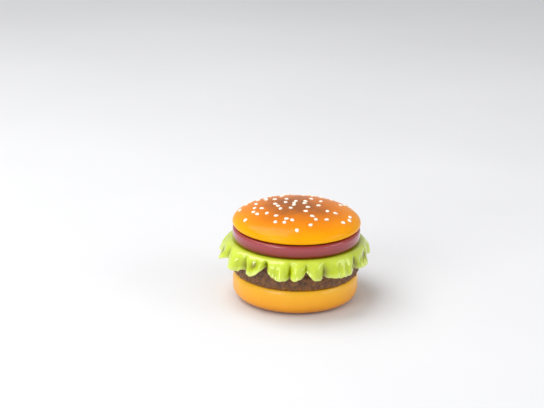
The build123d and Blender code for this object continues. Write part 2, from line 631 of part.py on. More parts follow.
def hook_switch_body():
    body = block(HOOK_BODY_W, HOOK_BODY_D, Z_HOOK, Z_UNDER_DECK, 0, HOOK_Y)
    return body - rod(HOOK_CAVITY_R, Z_HOOK + HOOK_FLOOR_T, Z_UNDER_DECK + 1, 0, HOOK_Y)


def hook_plunger():
    """Held down by the closed lid; it rises as the lid opens and lifts the hook."""
    plunger = rod(HOOK_FLANGE_R, Z_HOOK_FLANGE, Z_HOOK_FLANGE + HOOK_FLANGE_T, 0, HOOK_Y)
    return plunger + rod(HOOK_STEM_R, Z_HOOK_FLANGE, Z_EAR, 0, HOOK_Y)


def hook_spring():
    low = Z_HOOK + HOOK_FLOOR_T + HOOK_WIRE_R
    rise = HOOK_SPRING_H - 2 * HOOK_WIRE_R
    path = Helix(rise / HOOK_TURNS, rise, HOOK_SPRING_R)
    section = Plane(origin=path @ 0, z_dir=path % 0) * Circle(HOOK_WIRE_R)
    return Pos(0, HOOK_Y, low) * sweep(section, path, is_frenet=True)


# ---------------------------------------------------------------- the burger's outer layers


def lettuce_leaf():
    """A soft vinyl skirt clamped under the tomato, with a notched hem."""
    shoulder = TOMATO_R - LETTUCE_SHOULDER_IN
    skirt = turned(
        bend((shoulder, Z_HEM), LEAF_R - shoulder, LETTUCE_DROP, 0),
        *lines(
            (shoulder, Z_TOMATO),
            (CLAMPED_R, Z_TOMATO),
            (CLAMPED_R, Z_LEAF),
            (shoulder, Z_LEAF),
        ),
        bend((shoulder, Z_HEM), LEAF_R - shoulder - LETTUCE_T, LETTUCE_DROP - LETTUCE_T, 0),
        Line((LEAF_R - LETTUCE_T, Z_HEM), (LEAF_R, Z_HEM)),
    )
    for i in range(NOTCH_COUNT):
        angle = 360 * (i + 0.5) / NOTCH_COUNT + NOTCH_SWING_DEG * math.sin(2.3 * i)
        radius = NOTCH_R + NOTCH_R_SWING * math.sin(1.7 * i)
        reach = LETTUCE_OVERHANG
        cutter = Pos(LEAF_R + 1 - reach / 2, 0, Z_HEM) * Rot(0, 90, 0) * Cylinder(radius, reach)
        skirt -= Rot(0, 0, angle) * cutter
    return skirt


def patty_ring():
    """The brown middle casing, a barrel with a flange at each end."""
    edge_r = PATTY_EDGE_R
    inner_r = edge_r - WALL
    low, high = Z_PATTY, Z_LEAF
    turn_r = PATTY_R - edge_r
    hole_r = TONGUE_R + TONGUE_FIT
    return turned(
        bend((turn_r, low + edge_r), edge_r, edge_r, 270),
        Line((PATTY_R, low + edge_r), (PATTY_R, high - edge_r)),
        bend((turn_r, high - edge_r), edge_r, edge_r, 0),
        *lines((turn_r, high), (CLAMPED_R, high), (CLAMPED_R, high - WALL), (turn_r, high - WALL)),
        bend((turn_r, high - edge_r), inner_r, inner_r, 0),
        Line((PATTY_R - WALL, high - edge_r), (PATTY_R - WALL, low + edge_r)),
        bend((turn_r, low + edge_r), inner_r, inner_r, 270),
        *lines((turn_r, low + WALL), (hole_r, low + WALL), (hole_r, low), (turn_r, low)),
    )


def heel_profile(inset):
    """The heel's outline, moved in by a wall."""
    middle = Z_PATTY - HEEL_SHOULDER_H
    corner_r = HEEL_CORNER_R - inset
    shoulder = HEEL_R - HEEL_SHOULDER_IN
    return [
        bend((HEEL_FLOOR_R, Z_HEEL + HEEL_CORNER_R), corner_r, corner_r, 270),
        Line((HEEL_R - inset, Z_HEEL + HEEL_CORNER_R), (HEEL_R - inset, middle)),
        bend((shoulder, middle), HEEL_SHOULDER_IN - inset, HEEL_SHOULDER_H - inset, 0),
        *lines(
            (shoulder, Z_PATTY - inset),
            (0, Z_PATTY - inset),
            (0, Z_HEEL + inset),
            (HEEL_FLOOR_R, Z_HEEL + inset),
        ),
    ]


def jack_cradle():
    """Ribs on the heel's floor that hold the line socket from below and from both sides."""
    length = JACK_D - JACK_CRADLE_SHORT
    y = JACK_FACE_Y - JACK_D + length / 2
    cradle = block(JACK_W + 2 * JACK_RIB_T, length, Z_FLOOR, JACK_Z + JACK_CRADLE_H, 0, y)
    return cradle - block(JACK_W, JACK_D, JACK_Z, Z_PATTY, 0, y)


def bottom_bun_shell():
    """The heel: a cup with screw columns, a tongue for the patty and a window for the line socket."""
    outer = turned(*heel_profile(0))
    shell = outer - turned(*heel_profile(WALL))
    shell += rod(TONGUE_R, Z_PATTY - WALL, Z_PATTY + TONGUE_H)
    shell -= rod(TONGUE_R - TONGUE_T, Z_PATTY - WALL - 1, Z_PATTY + TONGUE_H + 1)
    shell += jack_cradle() & outer
    for x, y in diagonal_places(CASE_BOSS_RING):
        shell += rod(COLUMN_R, Z_FLOOR, Z_CASE_BOSS, x, y)
    shell += rod(BUZZER_R + FIT + BUZZER_COLLAR_T, Z_FLOOR, Z_FLOOR + BUZZER_H / 2, 0, BUZZER_Y)
    shell -= rod(BUZZER_R + FIT, Z_FLOOR, Z_PATTY - WALL, 0, BUZZER_Y)
    screw_end = Z_FLOOR - BALLAST_SCREW_BITE - SCREW_FIT
    for side in (-1, 1):
        shell -= rod(SMALL_SCREW_R, screw_end, Z_FLOOR + 1, side * BALLAST_SCREW_X, BALLAST_Y)
    for x, y in diagonal_places(CASE_BOSS_RING):
        shell -= rod(CASE_SCREW_R + SCREW_FIT, Z_HEEL - 1, Z_CASE_BOSS + 1, x, y)
        shell -= rod(CASE_HEAD_R + SCREW_FIT, Z_HEEL - 1, Z_CASE_BOSS - CASE_SCREW_BRIDGE, x, y)
    for x, y in grille_places(GRILLE_PITCH, 1):
        shell -= rod(GRILLE_HOLE_R, Z_HEEL - 1, Z_FLOOR + 1, x, BUZZER_Y + y)
    for x, y in foot_places():
        shell -= rod(FOOT_R + FOOT_FIT, Z_HEEL - 1, Z_HEEL + FOOT_SEAT, x, y)
    shell -= switch_window(-SWITCH_X, -RINGER_TRAVEL, RINGER_TRAVEL)
    shell -= switch_window(SWITCH_X, 0, TONE_TRAVEL)
    depth = JACK_D + 2
    return shell - block(JACK_W, depth, JACK_Z, JACK_Z + JACK_H, 0, JACK_FACE_Y - JACK_D + depth / 2)


def foot_places():
    return [(FOOT_RING_R, 0), (-FOOT_RING_R, 0), (0, FOOT_RING_R), (0, -FOOT_RING_R)]


def rubber_feet():
    feet = []
    for x, y in foot_places():
        foot = rod(FOOT_R, 0, Z_HEEL + FOOT_SEAT, x, y)
        feet.append(chamfer(foot.edges().group_by(Axis.Z)[0], FOOT_CHAMFER))
    return group(feet)


def case_screws():
    seat = Z_CASE_BOSS - CASE_SCREW_BRIDGE
    return group(
        screw(CASE_SCREW_R, CASE_HEAD_R, CASE_HEAD_H, CASE_SCREW_L, x, y, seat)
        for x, y in diagonal_places(CASE_BOSS_RING)
    )


def ballast_plate():
    plate = block(BALLAST_W, BALLAST_D, Z_FLOOR, Z_FLOOR + BALLAST_H, 0, BALLAST_Y)
    plate = fillet(plate.edges().filter_by(Axis.Z), BALLAST_CORNER_R)
    for side in (-1, 1):
        x = side * BALLAST_SCREW_X
        plate -= rod(SMALL_SCREW_R + SCREW_FIT, Z_FLOOR - 1, Z_FLOOR + BALLAST_H + 1, x, BALLAST_Y)
    return plate


def ballast_screws():
    seat = Z_FLOOR + BALLAST_H
    length = BALLAST_H + BALLAST_SCREW_BITE
    places = [side * BALLAST_SCREW_X for side in (-1, 1)]
    return group(
        screw(SMALL_SCREW_R, SMALL_HEAD_R, SMALL_HEAD_H, length, x, BALLAST_Y, seat, False) for x in places
    )


def buzzer():
    """A piezo ringer: a round case with one sound hole facing the floor's holes."""
    case = rod(BUZZER_R, Z_FLOOR, Z_FLOOR + BUZZER_H, 0, BUZZER_Y)
    case = fillet(case.edges().group_by(Axis.Z)[-1], 0.8)
    return case - rod(GRILLE_PITCH + GRILLE_HOLE_R, Z_FLOOR - 1, Z_FLOOR + 2.0, 0, BUZZER_Y)


def line_jack():
    """A modular telephone socket, open to the back, with the slot for the plug's latch below."""
    jack = block(JACK_W, JACK_D, JACK_Z, JACK_Z + JACK_H, 0, JACK_FACE_Y - JACK_D / 2)
    mouth_y = JACK_FACE_Y - SOCKET_DEPTH / 2 + 0.5
    sill = JACK_Z + SOCKET_SILL
    jack -= block(SOCKET_W, SOCKET_DEPTH + 1, sill, sill + SOCKET_H, 0, mouth_y)
    return jack - block(LATCH_W, SOCKET_DEPTH + 1, sill - LATCH_H, sill + 1, 0, mouth_y)


def jack_contacts():
    """Four gilt spring wires along the socket's roof."""
    roof = JACK_Z + SOCKET_SILL + SOCKET_H
    wires = []
    for i in range(4):
        x = (i - 1.5) * 1.27
        wire = block(0.5, SOCKET_DEPTH - 1, roof - 0.5, roof, x, JACK_FACE_Y - SOCKET_DEPTH / 2)
        hook = block(0.5, 0.6, roof - 1.1, roof - 0.5, x, JACK_FACE_Y - SOCKET_DEPTH + 1.2)
        wires.append(wire + hook)
    return group(wires)


def switch_window(x, low_travel, high_travel):
    """The slot in the heel's floor that a slide switch's knob moves in."""
    width = KNOB_STEM_W + high_travel - low_travel + 2 * KNOB_CLEAR
    depth = KNOB_STEM_D + 2 * KNOB_CLEAR
    return block(width, depth, Z_HEEL - 1, Z_FLOOR + 0.01, x + (low_travel + high_travel) / 2, SWITCH_Y)


def switch_body(x, low_travel, high_travel):
    """A slide switch's case, hollow inside and open towards the floor's slot."""
    middle = x + (low_travel + high_travel) / 2
    body = block(SWITCH_W, SWITCH_D, Z_FLOOR, Z_FLOOR + SWITCH_H, middle, SWITCH_Y)
    room_w = KNOB_W + high_travel - low_travel + 2 * KNOB_CLEAR
    room_low, room_high = Z_FLOOR + SWITCH_WALL, Z_FLOOR + SWITCH_WALL + KNOB_T + KNOB_CLEAR
    body -= block(room_w, KNOB_D + 2 * KNOB_CLEAR, room_low, room_high, middle, SWITCH_Y)
    slot_w = KNOB_STEM_W + high_travel - low_travel + 2 * KNOB_CLEAR
    return body - block(slot_w, KNOB_STEM_D + 2 * KNOB_CLEAR, Z_FLOOR - 1, room_low + 0.1, middle, SWITCH_Y)


def switch_knob(x):
    """The slider inside the switch and the finger tab that reaches through the floor."""
    slider_low = Z_FLOOR + SWITCH_WALL + KNOB_CLEAR / 2
    slider = block(KNOB_W, KNOB_D, slider_low, slider_low + KNOB_T, x, SWITCH_Y)
    return slider + block(KNOB_STEM_W, KNOB_STEM_D, Z_HEEL - KNOB_PROUD, slider_low, x, SWITCH_Y)


def mic_lead():
    low = Z_UNDER_DECK - MIC_BOOT_T - MIC_H
    return lead((1.5, MIC_Y, low), (1.5, MIC_Y, low - 4), (4, MIC_Y + 8, low - 5),
                (8, MIC_Y + 14, low - 4), (8, MIC_Y + 14, Z_UNDER_BOARD))


def buzzer_lead():
    top = Z_FLOOR + BUZZER_H
    return lead((4, BUZZER_Y, top), (4, BUZZER_Y, top + 9), (9, BUZZER_Y - 6, top + 22),
                (11, BUZZER_Y - 8, Z_UNDER_BOARD - 10), (11, BUZZER_Y - 8, Z_UNDER_BOARD))


def line_lead():
    back = JACK_FACE_Y - JACK_D
    level = JACK_Z + JACK_H / 2
    return lead((-3, back, level), (-3, back - 5, level), (-9, back - 9, level + 14),
                (-12, back - 12, Z_UNDER_BOARD - 9), (-12, back - 12, Z_UNDER_BOARD))


def nodes():
    """Every node's name and the function that makes it."""
    made = {
        "top_bun_shell": top_bun_shell,
        "sesame_seeds": sesame_seeds,
        "earpiece_plate": earpiece_plate,
        "lid_screws": lid_screws,
        "lid_bumpers": lid_bumpers,
        "receiver_gasket": receiver_gasket,
        "receiver_frame": receiver_frame,
        "receiver_magnet": receiver_magnet,
        "receiver_cone": receiver_cone,
        "receiver_clamp": receiver_clamp,
        "clamp_screws": clamp_screws,
        "receiver_lead": receiver_lead,
        "tomato_ring": tomato_ring,
        "hinge_pin": hinge_pin,
        "deck_plate": deck_plate,
        "key_membrane": key_membrane,
        "main_board": main_board,
        "board_screws": board_screws,
        "dialler_chip": dialler_chip,
        "capacitors": capacitors,
        "mic_capsule": mic_capsule,
        "mic_boot": mic_boot,
        "mic_lead": mic_lead,
        "hook_switch_body": hook_switch_body,
        "hook_spring": hook_spring,
        "hook_plunger": hook_plunger,
        "lettuce_leaf": lettuce_leaf,
        "patty_ring": patty_ring,
        "bottom_bun_shell": bottom_bun_shell,
        "rubber_feet": rubber_feet,
        "case_screws": case_screws,
        "ballast_plate": ballast_plate,
        "ballast_screws": ballast_screws,
        "buzzer": buzzer,
        "buzzer_lead": buzzer_lead,
        "line_jack": line_jack,
        "jack_contacts": jack_contacts,
        "line_lead": line_lead,
        "ringer_switch_body": lambda: switch_body(-SWITCH_X, -RINGER_TRAVEL, RINGER_TRAVEL),
        "tone_switch_body": lambda: switch_body(SWITCH_X, 0, TONE_TRAVEL),
        "ringer_knob": lambda: switch_knob(-SWITCH_X),
        "tone_knob": lambda: switch_knob(SWITCH_X),
    }
    for name, *place in all_keys():
        made[name] = lambda place=place: key_cap(*place)
    return made


def main():
    os.makedirs("parts", exist_ok=True)
    for name, make in nodes().items():
        export_step(make(), "parts/" + name + ".step")


main()
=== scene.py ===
import math

import bpy
from mathutils import Matrix, Vector, noise


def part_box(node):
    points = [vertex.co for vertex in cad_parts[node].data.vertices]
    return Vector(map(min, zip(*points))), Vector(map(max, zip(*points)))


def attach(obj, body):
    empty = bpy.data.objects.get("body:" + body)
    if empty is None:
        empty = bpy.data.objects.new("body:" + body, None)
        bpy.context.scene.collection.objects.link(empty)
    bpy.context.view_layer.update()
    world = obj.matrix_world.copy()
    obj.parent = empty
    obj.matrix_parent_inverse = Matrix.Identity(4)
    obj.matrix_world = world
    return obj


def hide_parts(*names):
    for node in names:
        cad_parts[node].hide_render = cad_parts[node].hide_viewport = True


# A telephone shaped like a burger, closed, on a pale floor in soft studio light.
# Metres, in the CAD frame: +Z up, +Y to the lid's hinge, the table at z = 0.

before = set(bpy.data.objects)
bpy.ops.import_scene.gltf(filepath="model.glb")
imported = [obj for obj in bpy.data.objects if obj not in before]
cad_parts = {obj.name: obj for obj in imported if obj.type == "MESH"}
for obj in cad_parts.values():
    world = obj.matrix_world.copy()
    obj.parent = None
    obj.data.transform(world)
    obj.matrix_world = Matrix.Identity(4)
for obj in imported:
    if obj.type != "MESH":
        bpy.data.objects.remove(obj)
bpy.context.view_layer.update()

MM = 0.001


# ---------------------------------------------------------------- colours and material nodes


def linear(red, green, blue):
    """A display colour, 0 to 255, as the linear colour that shaders take."""
    made = []
    for value in (red, green, blue):
        share = value / 255
        made.append(share / 12.92 if share <= 0.04045 else ((share + 0.055) / 1.055) ** 2.4)
    return (*made, 1.0)


class Nodes:
    """A material's node tree with one principled shader."""

    def __init__(self, name, **settings):
        self.material = bpy.data.materials.new(name)
        self.material.use_nodes = True
        self.tree = self.material.node_tree
        self.shader = self.tree.nodes["Principled BSDF"]
        for socket, value in settings.items():
            self.shader.inputs[socket.replace("_", " ")].default_value = value

    def add(self, kind, **settings):
        node = self.tree.nodes.new(kind)
        for key, value in settings.items():
            setattr(node, key, value)
        return node

    def join(self, output, socket):
        self.tree.links.new(output, socket)

    def place(self):
        """Object coordinates, which are the CAD frame's own metres."""
        return self.add("ShaderNodeTexCoord").outputs["Object"]

    def noise(self, scale, detail=3.0, rough=0.5, place=None):
        node = self.add("ShaderNodeTexNoise")
        node.inputs["Scale"].default_value = scale
        node.inputs["Detail"].default_value = detail
        node.inputs["Roughness"].default_value = rough
        self.join(place or self.place(), node.inputs["Vector"])
        return node.outputs["Fac"]

    def ramp(self, value, stops, interpolation="LINEAR"):
        """A colour ramp from (position, colour) pairs."""
        node = self.add("ShaderNodeValToRGB")
        node.color_ramp.interpolation = interpolation
        elements = node.color_ramp.elements
        while len(elements) < len(stops):
            elements.new(0.5)
        for element, (position, colour) in zip(elements, stops):
            element.position = position
            element.color = colour
        self.join(value, node.inputs["Fac"])
        return node.outputs["Color"]

    def math(self, operation, first, second, third=None):
        node = self.add("ShaderNodeMath", operation=operation)
        for socket, value in zip(node.inputs, (first, second, third)):
            if value is None:
                continue
            if isinstance(value, (int, float)):
                socket.default_value = value
            else:
                self.join(value, socket)
        return node.outputs["Value"]

    def mix(self, factor, first, second, blend="MIX"):
        node = self.add("ShaderNodeMix", data_type="RGBA", blend_type=blend)
        sockets = (node.inputs["Factor"], node.inputs[6], node.inputs[7])
        for socket, value in zip(sockets, (factor, first, second)):
            if isinstance(value, (int, float, tuple)):
                socket.default_value = value
            else:
                self.join(value, socket)
        return node.outputs[2]

    def between(self, value, low, high):
        """A value mapped so that low gives 0 and high gives 1, clamped."""
        node = self.add("ShaderNodeMapRange")
        node.inputs["From Min"].default_value = low
        node.inputs["From Max"].default_value = high
        self.join(value, node.inputs["Value"])
        return node.outputs["Result"]

    def axis(self, name):
        split = self.add("ShaderNodeSeparateXYZ")
        self.join(self.place(), split.inputs["Vector"])
        return split.outputs[name]

    def attribute(self, name):
        return self.add("ShaderNodeAttribute", attribute_name=name).outputs["Fac"]

    def colour(self, output):
        self.join(output, self.shader.inputs["Base Color"])

    def rough(self, low, high, scale=300.0):
        """Roughness that drifts between two values over the surface."""
        node = self.add("ShaderNodeMapRange")
        node.inputs["To Min"].default_value = low
        node.inputs["To Max"].default_value = high
        self.join(self.noise(scale), node.inputs["Value"])
        self.join(node.outputs["Result"], self.shader.inputs["Roughness"])

    def bump(self, height, depth, strength=1.0):
        """Fine relief; depth is in metres."""
        node = self.add("ShaderNodeBump")
        node.inputs["Distance"].default_value = depth
        node.inputs["Strength"].default_value = strength
        self.join(height, node.inputs["Height"])
        self.join(node.outputs["Normal"], self.shader.inputs["Normal"])


def bun_paint():
    """Sprayed orange: yellow at the lip, browner towards the crown, under a clear gloss."""
    low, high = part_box("top_bun_shell")
    made = Nodes("bun_paint", Coat_Weight=0.18, Coat_Roughness=0.06, Coat_IOR=1.4, Specular_IOR_Level=0.08)
    height = made.between(made.axis("Z"), low.z, high.z)
    drift = made.math("MULTIPLY_ADD", made.noise(38.0, 4.0), 0.34, -0.17)
    shade = made.math("ADD", height, drift)
    tint = made.ramp(shade, [
        (0.00, linear(255, 186, 0)),
        (0.30, linear(252, 170, 0)),
        (0.64, linear(238, 140, 0)),
        (0.90, linear(212, 116, 4)),
        (1.00, linear(156, 86, 26)),
    ])
    speck = made.between(made.noise(420.0, 2.0), 0.35, 0.7)
    made.colour(made.mix(made.math("MULTIPLY", speck, 0.12), tint, linear(214, 104, 4)))
    made.rough(0.22, 0.34)
    made.bump(made.noise(160.0, 3.0), 0.25 * MM)
    return made.material


def heel_paint():
    """The bottom bun: paler and evener than the crown, darker towards the bottom."""
    patty_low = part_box("patty_ring")[0]
    made = Nodes("heel_paint", Coat_Weight=0.25, Coat_Roughness=0.14, Specular_IOR_Level=0.3)
    height = made.between(made.axis("Z"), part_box("rubber_feet")[0].z, patty_low.z)
    drift = made.math("MULTIPLY_ADD", made.noise(45.0, 4.0), 0.4, -0.2)
    made.colour(made.ramp(made.math("ADD", height, drift), [
        (0.00, linear(206, 124, 20)),
        (0.35, linear(240, 160, 22)),
        (0.75, linear(250, 178, 28)),
        (1.00, linear(252, 190, 44)),
    ]))
    made.rough(0.28, 0.42)
    made.bump(made.noise(180.0, 3.0), 0.3 * MM)
    return made.material


def seed_gloss():
    made = Nodes("seed_gloss", Coat_Weight=0.4, Coat_Roughness=0.15)
    made.colour(made.ramp(made.noise(260.0, 2.0), [
        (0.3, linear(255, 251, 240)),
        (0.7, linear(246, 236, 214)),
    ]))
    made.rough(0.3, 0.45)
    return made.material


def tomato_gloss(name="tomato_gloss"):
    """Brick red with a purplish cast, lighter and pinker towards the top as painted highlight and darker
    and browner on the underside as painted shade.
    """
    leaf_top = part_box("lettuce_leaf")[1].z
    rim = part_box("deck_plate")[1].z
    made = Nodes(name, Coat_Weight=0.9, Coat_Roughness=0.05, Specular_IOR_Level=0.2)
    # painted light: the colour runs from painted shade on the underside up to a painted highlight at the
    # top rim
    height = made.between(made.axis("Z"), leaf_top, rim)
    drift = made.math("MULTIPLY_ADD", made.noise(60.0, 3.0), 0.3, -0.15)
    made.colour(made.ramp(made.math("ADD", height, drift), [
        (0.00, linear(96, 22, 4)),
        (0.45, linear(140, 42, 36)),
        (1.00, linear(162, 62, 68)),
    ]))
    made.rough(0.2, 0.3)
    made.bump(made.noise(120.0, 2.0), 0.2 * MM)
    return made.material


def leaf_gloss():
    """Lime vinyl: olive in the creases and hollows as painted shade, paler on the crests as painted light,
    and paler along the hem.
    """
    made = Nodes("leaf_gloss", Coat_Weight=0.9, Coat_Roughness=0.07, Specular_IOR_Level=0.3,
                 Subsurface_Weight=0.06, Subsurface_Scale=2.0 * MM)
    made.shader.inputs["Subsurface Radius"].default_value = (0.8, 1.0, 0.15)
    # painted shade: olive where the leaf lies in a crease or a hollow, pale yellow-green on the crests; the
    # drift noise adds uneven tone
    painted_leaf_shade = made.attribute("painted_leaf_shade")
    drift = made.math("MULTIPLY_ADD", made.noise(55.0, 4.0), 0.3, -0.15)
    leaf = made.ramp(made.math("ADD", painted_leaf_shade, drift), [
        (0.00, linear(92, 88, 0)),
        (0.30, linear(150, 154, 2)),
        (0.60, linear(186, 204, 18)),
        (1.00, linear(206, 224, 66)),
    ])
    edge = made.between(made.attribute("hem"), 0.86, 1.0)
    made.colour(made.mix(made.math("MULTIPLY", edge, 0.55), leaf, linear(226, 234, 144)))
    made.rough(0.22, 0.36)
    made.bump(made.noise(130.0, 3.0), 0.35 * MM)
    return made.material


def patty_meat():
    made = Nodes("patty_meat", Coat_Weight=0.25, Coat_Roughness=0.3)
    grain = made.noise(240.0, 5.0, 0.6)
    made.colour(made.ramp(grain, [
        (0.30, linear(74, 40, 14)),
        (0.55, linear(116, 70, 20)),
        (0.75, linear(152, 98, 34)),
    ]))
    made.rough(0.4, 0.6)
    made.bump(made.noise(500.0, 4.0, 0.6), 0.5 * MM)
    return made.material


def moulded(name, colour, rough=0.4, grain=0.08, variation=6, metallic=0.0, **settings):
    """Moulded plastic or plated metal of one colour, with a faint mottle and a fine grain."""
    made = Nodes(name, Metallic=metallic, **settings)
    darker = tuple(max(0, value - variation) for value in colour)
    made.colour(made.ramp(made.noise(150.0, 2.0), [(0.35, linear(*darker)), (0.65, linear(*colour))]))
    made.rough(rough * 0.85, rough * 1.15)
    made.bump(made.noise(1600.0, 2.0), grain * MM)
    return made.material


def brushed(name, colour):
    """Zinc-plated steel with fine streaks along X."""
    made = Nodes(name, Metallic=1.0)
    stretch = made.add("ShaderNodeMapping")
    stretch.inputs["Scale"].default_value = (0.05, 1.0, 1.0)
    made.join(made.place(), stretch.inputs["Vector"])
    streaks = made.noise(2500.0, 2.0, place=stretch.outputs["Vector"])
    made.colour(made.ramp(streaks, [(0.3, linear(*(v - 18 for v in colour))), (0.7, linear(*colour))]))
    made.rough(0.25, 0.4)
    made.bump(streaks, 0.03 * MM)
    return made.material


def dress(material, *nodes):
    """Gives CAD nodes a material, over all their faces."""
    for name in nodes:
        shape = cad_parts[name].data
        shape.materials.clear()
        shape.materials.append(material)


# ---------------------------------------------------------------- mesh helpers


def mesh_piece(name, points, faces, material, body, smooth=True):
    shape = bpy.data.meshes.new(name)
    shape.from_pydata(points, [], faces)
    shape.validate()
    piece = bpy.data.objects.new(name, shape)
    bpy.context.scene.collection.objects.link(piece)
    shape.materials.append(material)
    if smooth:
        for face in shape.polygons:
            face.use_smooth = True
    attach(piece, body)
    return piece


def ring_faces(around, along):
    """Quads of a grid that closes on itself round the first direction."""
    faces = []
    for i in range(around):
        for j in range(along - 1):
            a = i * along + j
            b = ((i + 1) % around) * along + j
            faces.append((a, b, b + 1, a + 1))
    return faces


def ease(value):
    """Smooth 0 to 1."""
    value = min(1.0, max(0.0, value))
    return value * value * (3 - 2 * value)


# ---------------------------------------------------------------- the lettuce


LEAF_AROUND = 1200
LEAF_ALONG = 36
LEAF_THICK = 1.7 * MM
CLAMP_SHARE = 0.16  # of the leaf's width, lying flat under the tomato
CLAMP_WIDTH = 4.5 * MM
DENT_MIDDLE, DENT_WIDE, DENT_TALL = 0.66, 0.42, 0.24  # a lobe's hollow, in shares of the lobe
CREASE_R = 60.8 * MM  # how far out the leaf still reaches in a crease
FIRST_LOBE = 148  # degrees, anticlockwise from +X
LEAF_SWING = math.radians(84)  # how far the leaf has bent down by its hem

# Each lobe, anticlockwise: width in degrees, then in mm its reach past the axis, how far the hem rises in
# the crease before it, how deep its spoon-shaped hollow is, and how far its hem hangs below the others'.
LOBES = [
    (22.0, 70.4, 3.0, 2.2, 0.0),
    (23.0, 70.8, 6.0, 0.8, 0.4),
    (20.0, 70.0, 1.5, 2.4, 0.2),
    (19.5, 69.4, 9.0, 0.6, 0.5),
    (13.0, 68.4, 1.5, 0.3, 0.3),
    (14.5, 68.6, 6.0, 0.5, 0.0),
    (33.0, 67.8, 2.0, 1.0, 0.5),
    (35.0, 67.0, 3.0, 2.4, 0.2),
    (24.0, 69.0, 3.0, 1.2, 0.0),
    (18.0, 69.8, 4.5, 0.4, 0.4),
    (27.0, 69.2, 2.0, 2.0, 0.1),
    (16.0, 70.0, 5.0, 0.4, 0.5),
    (25.0, 69.0, 1.5, 1.4, 0.2),
    (21.0, 70.2, 6.0, 0.8, 0.0),
    (28.0, 69.4, 2.0, 2.2, 0.4),
    (21.0, 70.0, 4.0, 0.8, 0.1),
]


def lobe_at(degrees):
    """The lobe at an angle, the one after it, and the place across it from -1 to 1."""
    walk = (degrees - FIRST_LOBE) % 360
    for lobe, following in zip(LOBES, LOBES[1:] + LOBES[:1]):
        if walk < lobe[0]:
            return lobe, following, 2 * walk / lobe[0] - 1
        walk -= lobe[0]
    return LOBES[0], LOBES[1], -1.0


def crease_rise(lobe, following, across):
    """How far the hem is lifted by the creases on each side of a lobe."""
    width, rise = lobe[0], 0.0
    for height, gap in ((lobe[2], across + 1), (following[2], 1 - across)):
        spread = 1.6 + 0.42 * height
        rise += height * math.exp(-abs(gap * width / 2 / spread) ** 1.6)
    return rise * MM


def leaf_point(degrees, along, top, hem, start):
    """A point of the leaf's middle surface, with its painted shade from 0 in a hollow to 1 on a crest."""
    angle = math.radians(degrees)
    around = Vector((math.cos(angle), math.sin(angle), 0))
    if along < CLAMP_SHARE:
        part = along / CLAMP_SHARE
        return around, start - (1 - part) * CLAMP_WIDTH, top, 0.5
    part = (along - CLAMP_SHARE) / (1 - CLAMP_SHARE)
    lean = 2.6 * noise.noise(around * 5 + Vector((0, 0, 7))) * part * part
    lobe, following, across = lobe_at(degrees + lean)
    _, reach, _, hollow, hang = lobe
    plump = 1 - abs(across) ** 2.2
    fold = 1 - (1 - plump) * (0.1 + 0.9 * ease(part * 1.15))
    ripple = noise.noise(around * 13 + Vector((0, 0, along * 2.2)))
    frill = noise.noise(around * 24 + Vector((3, 0, 0)))
    outer = CREASE_R + (reach * MM - CREASE_R) * fold
    low = hem + crease_rise(lobe, following, across) - hang * MM * plump
    swing = part * LEAF_SWING
    share = math.sin(swing) / math.sin(min(LEAF_SWING, math.pi / 2))
    radius = start + (outer - start) * share + (2.0 * ripple + 0.1) * MM * ease(part)
    height = top - (top - low) * (1 - math.cos(swing)) / (1 - math.cos(LEAF_SWING))
    height += (1.2 * ripple + 1.3 * frill) * MM * ease((part - 0.35) / 0.65)
    dent = math.exp(-(across / DENT_WIDE) ** 2 - ((part - DENT_MIDDLE) / DENT_TALL) ** 2)
    radius -= hollow * MM * dent
    radius += (0.8 + 0.8 * frill) * MM * ease((part - 0.8) / 0.2) * plump
    # painted shade: dark in the creases and the hollows, light on the crests, lighter where the ripple
    # pushes the leaf out
    shade = (0.05 + 0.95 * fold) * (1 - 0.36 * hollow * dent) + 0.45 * ripple * part
    return around, radius, height, min(1.0, max(0.0, shade))


def lettuce():
    """A vinyl leaf of uneven plump lobes, with sharp creases between them and a rolled hem."""
    low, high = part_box("lettuce_leaf")
    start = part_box("tomato_ring")[1].x + 0.6 * MM
    top = high.z - LEAF_THICK / 2 - 0.1 * MM
    hem = low.z + 0.4 * MM
    points, painted_leaf_shades, hems = [], [], []
    for i in range(LEAF_AROUND):
        degrees = 360 * i / LEAF_AROUND
        for j in range(LEAF_ALONG):
            along = j / (LEAF_ALONG - 1)
            around, radius, height, shade = leaf_point(degrees, along, top, hem, start)
            points.append((around.x * radius, around.y * radius, height))
            painted_leaf_shades.append(shade)
            hems.append(along)
    leaf = mesh_piece("lettuce", points, ring_faces(LEAF_AROUND, LEAF_ALONG), leaf_gloss(), "base")
    # The painted shade and the share along the leaf go on as point attributes for the leaf's material.
    for name, values in (("painted_leaf_shade", painted_leaf_shades), ("hem", hems)):
        layer = leaf.data.attributes.new(name, "FLOAT", "POINT")
        layer.data.foreach_set("value", values)
    wall = leaf.modifiers.new("wall", "SOLIDIFY")
    wall.thickness = LEAF_THICK
    wall.offset = 0
    round_off = leaf.modifiers.new("round", "SUBSURF")
    round_off.levels = round_off.render_levels = 1
    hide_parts("lettuce_leaf")
    return leaf


# ---------------------------------------------------------------- the patty


PATTY_AROUND, PATTY_ALONG = 720, 60
PATTY_EDGE_R = 5.0 * MM


